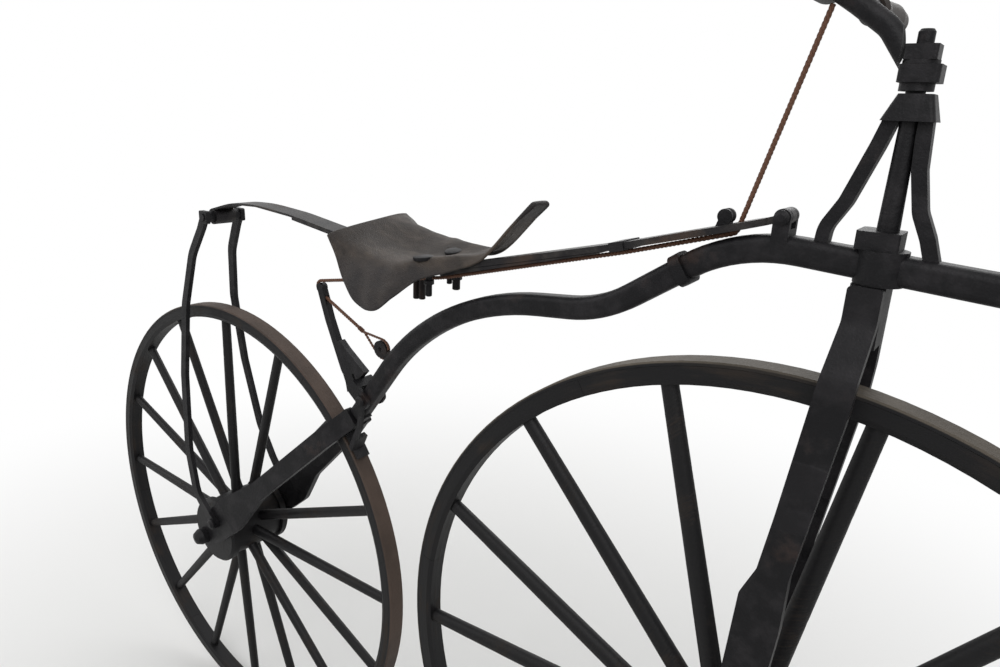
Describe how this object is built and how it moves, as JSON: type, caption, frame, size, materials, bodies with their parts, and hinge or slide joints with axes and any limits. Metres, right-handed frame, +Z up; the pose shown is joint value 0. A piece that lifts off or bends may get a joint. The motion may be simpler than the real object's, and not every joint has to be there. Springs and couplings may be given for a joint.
{
  "type": "velocipede",
  "caption": "Early front-driven velocipede: iron-tyred wooden wheels, serpentine forged backbone, long leaf spring saddle, cord-worked rear brake and pedal cranks on the front axle",
  "frame": {"origin": "the middle of the saddle's top, where the rider sits", "axes": "+X forwards, +Y to the rider's left, +Z up"},
  "size_m": [1.7619, 0.588, 1.2529],
  "materials": {
    "iron": "blackened wrought iron with thin brown rust",
    "tyre_iron": "worn iron hoop, grey-brown",
    "wood": "old dark wood under worn black paint",
    "leather": "old dry leather, dark brown-grey",
    "cord": "twisted red-brown cord"
  },
  "bodies": {
    "frame": {"backbone": "iron", "backbone_band": "iron", "head_boss": "iron", "head_cage": "iron", "leg_rest": "iron", "rear_fork_left": "iron", "rear_fork_right": "iron", "rear_axle": "iron", "rear_axle_nuts": "iron", "crossbar": "iron", "strut_left": "iron", "strut_right": "iron", "strut_bolts": "iron", "main_spring": "iron", "spring_clip": "iron", "spring_lug": "iron", "spring_bolt": "iron", "cord_roller": "iron", "saddle": "leather", "saddle_clips": "iron", "brake_lever": "iron", "brake_shoe": "iron", "brake_pivot": "iron", "cord_eye": "iron", "brake_cord_rear": "cord", "brake_cord_front": "cord"},
    "steering": {"steering_column": "iron", "fork_blade_left": "iron", "fork_blade_right": "iron", "bar_bracket": "iron", "column_nut": "iron", "handlebar": "iron", "grip_left": "wood", "grip_right": "wood"},
    "front_wheel": {"front_tyre": "tyre_iron", "front_felloes": "wood", "front_hub": "wood", "front_axle": "iron", "crank_left": "iron", "crank_right": "iron", "pedal_spindle_left": "iron", "pedal_spindle_right": "iron"},
    "rear_wheel": {"rear_tyre": "tyre_iron", "rear_felloes": "wood", "rear_hub": "wood"},
    "pedal_right": {"pedal_right": "wood"},
    "pedal_left": {"pedal_left": "wood"}
  },
  "joints": [
    {"name": "steering_turn", "type": "hinge", "parent": "frame", "child": "steering", "pos_m": [0.52595, 0, 0.09], "axis": [0, 0, 1], "range_deg": [-40, 40]},
    {"name": "front_wheel_spin", "type": "hinge", "parent": "steering", "child": "front_wheel", "pos_m": [0.47695, 0, -0.496], "axis": [0, 1, 0], "continuous": true},
    {"name": "rear_wheel_spin", "type": "hinge", "parent": "frame", "child": "rear_wheel", "pos_m": [-0.43005, 0, -0.555], "axis": [0, 1, 0], "continuous": true},
    {"name": "pedal_right_spin", "type": "hinge", "parent": "front_wheel", "child": "pedal_right", "pos_m": [0.54695, -0.125, -0.37476], "axis": [0, 1, 0], "continuous": true},
    {"name": "pedal_left_spin", "type": "hinge", "parent": "front_wheel", "child": "pedal_left", "pos_m": [0.40695, 0.125, -0.61724], "axis": [0, 1, 0], "continuous": true}
  ]
}
